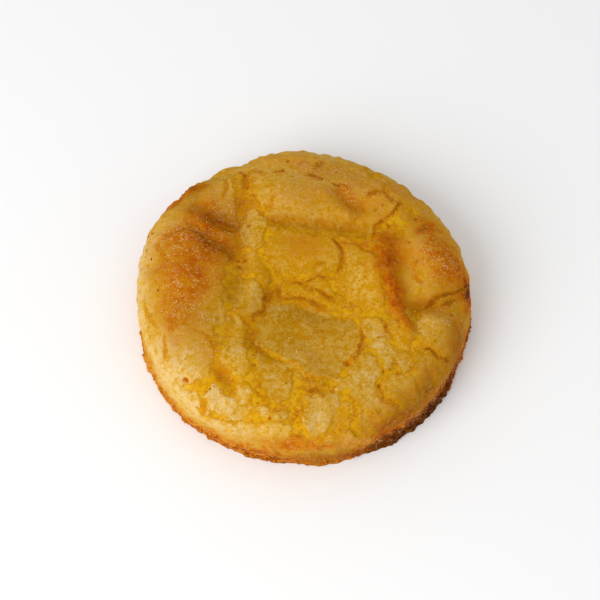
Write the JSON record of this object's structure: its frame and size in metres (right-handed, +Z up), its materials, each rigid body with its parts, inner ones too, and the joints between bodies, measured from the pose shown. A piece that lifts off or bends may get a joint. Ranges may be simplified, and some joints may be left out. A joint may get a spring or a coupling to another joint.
{
  "type": "lemon crinkle cookie",
  "caption": "Round baked cookie with a sunken, cracked and sugared top, a rounded side and a flat browned base.",
  "frame": {"origin": "centre of the base on the surface that the cookie rests on, midway between its extremes in X and Y", "axes": "+Z up through the cookie's top, +X to its right and -Y to its front as pictured"},
  "size_m": [0.0758, 0.076, 0.019],
  "materials": {
    "crust": "matte"
  },
  "bodies": {
    "root": {"cookie": "crust"}
  },
  "joints": []
}
